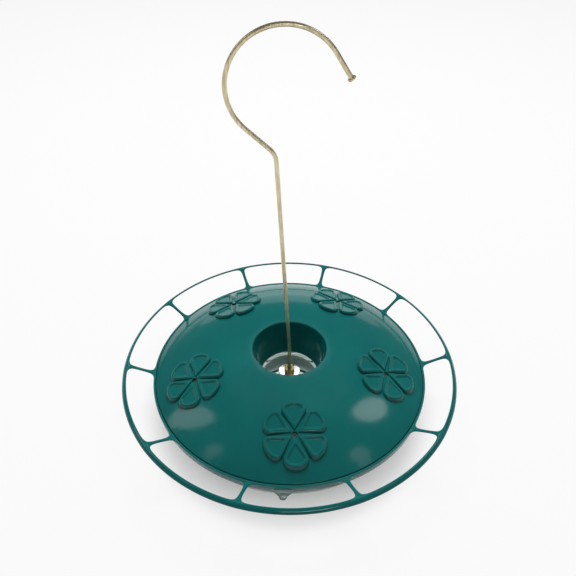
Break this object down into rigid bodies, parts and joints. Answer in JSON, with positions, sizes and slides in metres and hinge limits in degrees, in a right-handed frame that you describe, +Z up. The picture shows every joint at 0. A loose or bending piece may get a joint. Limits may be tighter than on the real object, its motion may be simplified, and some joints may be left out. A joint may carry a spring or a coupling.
{
  "type": "hanging saucer feeder for hummingbirds",
  "caption": "Saucer feeder for hummingbirds: clear bowl, domed green cover with raised flower ports, round perch ring on thin spokes, and a brass wire hook clamped through the centre.",
  "frame": {"origin": "on the feeder's axis, in the plane of the bowl's foot", "axes": "+Z up along the axis, -Y towards the front flower, +X towards the open side of the hook"},
  "size_m": [0.2028, 0.2028, 0.2306],
  "materials": {
    "green_plastic": "glossy moulded",
    "clear_plastic": "clear moulded",
    "brass_wire": "pale brass plated wire",
    "brass_nut": "machined",
    "steel_washer": "bright",
    "rubber_seal": "matte"
  },
  "bodies": {
    "bowl": {"bowl": "clear_plastic", "hanging_rod": "brass_wire", "upper_nut": "brass_nut", "upper_washer": "steel_washer", "upper_seal": "rubber_seal"},
    "perch_ring": {"perch_ring": "green_plastic"},
    "cover": {"cover": "green_plastic"},
    "lower_stack": {"lower_seal": "rubber_seal", "lower_washer": "steel_washer"},
    "wing_nut": {"wing_nut": "brass_nut"}
  },
  "joints": [
    {"name": "perch_turn", "type": "hinge", "parent": "bowl", "child": "perch_ring", "pos_m": [0, 0, 0.0226], "axis": [0, 0, 1], "continuous": true},
    {"name": "cover_lift", "type": "slide", "parent": "perch_ring", "child": "cover", "axis": [0, 0, 1], "range_m": [0, 0.12]},
    {"name": "nut_drop", "type": "slide", "parent": "bowl", "child": "lower_stack", "axis": [0, 0, -1], "range_m": [0, 0.003]},
    {"name": "nut_turn", "type": "hinge", "parent": "lower_stack", "child": "wing_nut", "pos_m": [0, 0, 0.0146], "axis": [0, 0, -1], "range_deg": [0, 2160]}
  ],
  "couplings": [
    {"joint": "nut_turn", "follows": "nut_drop", "rad_per_m": 12566}
  ]
}
